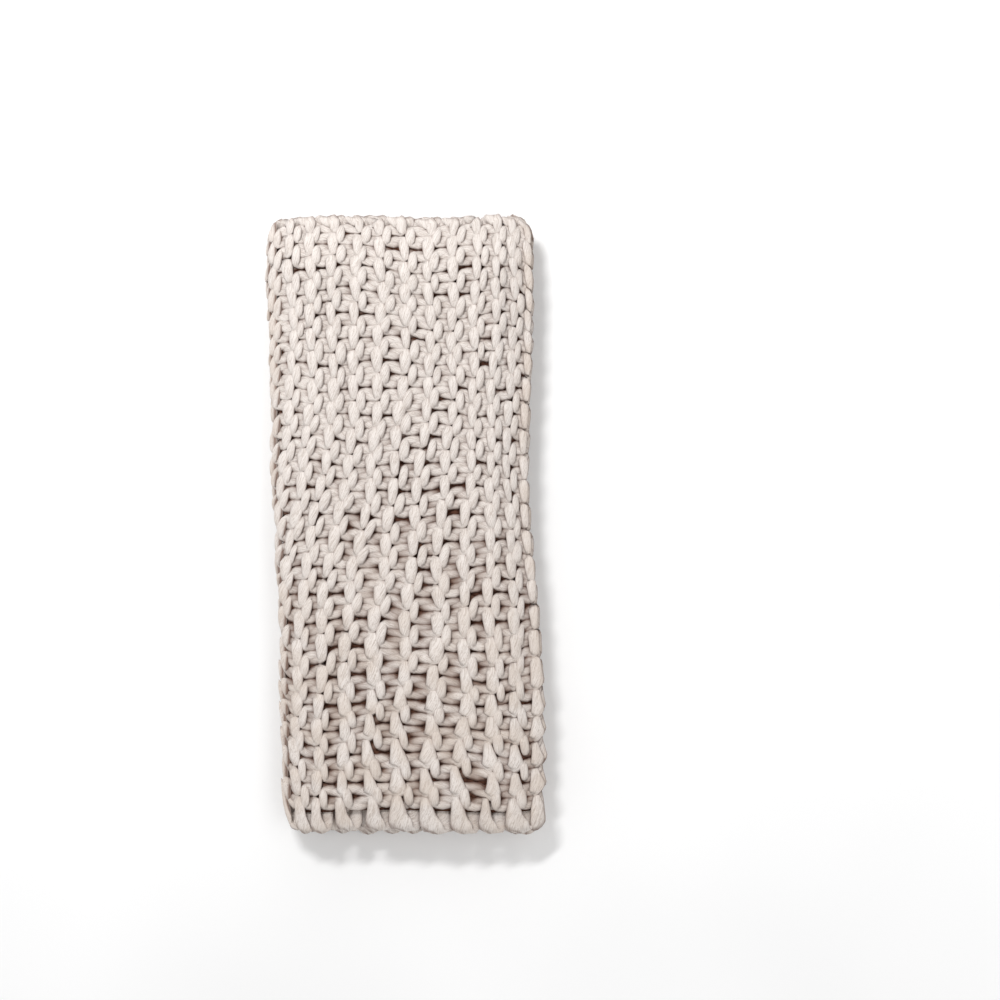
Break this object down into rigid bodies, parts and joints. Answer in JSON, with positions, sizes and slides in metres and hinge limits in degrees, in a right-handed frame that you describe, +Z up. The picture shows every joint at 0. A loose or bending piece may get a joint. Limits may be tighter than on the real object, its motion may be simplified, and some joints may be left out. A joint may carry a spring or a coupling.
{
  "type": "chunky knit blanket",
  "caption": "Thick garter-stitch knitted throw, folded back and forth into a flat oblong stack for a shelf, bench or bed.",
  "frame": {"origin": "on the floor under the middle of the folded stack", "axes": "+Z up, +Y along the knitted ridges and the folds towards the far end, +X to the right across the folds"},
  "size_m": [0.3499, 0.7778, 0.084],
  "materials": {
    "cotton_yarn": "matt, soft, loosely spun greige cotton yarn"
  },
  "bodies": {
    "root": {"blanket": "cotton_yarn"}
  },
  "joints": []
}
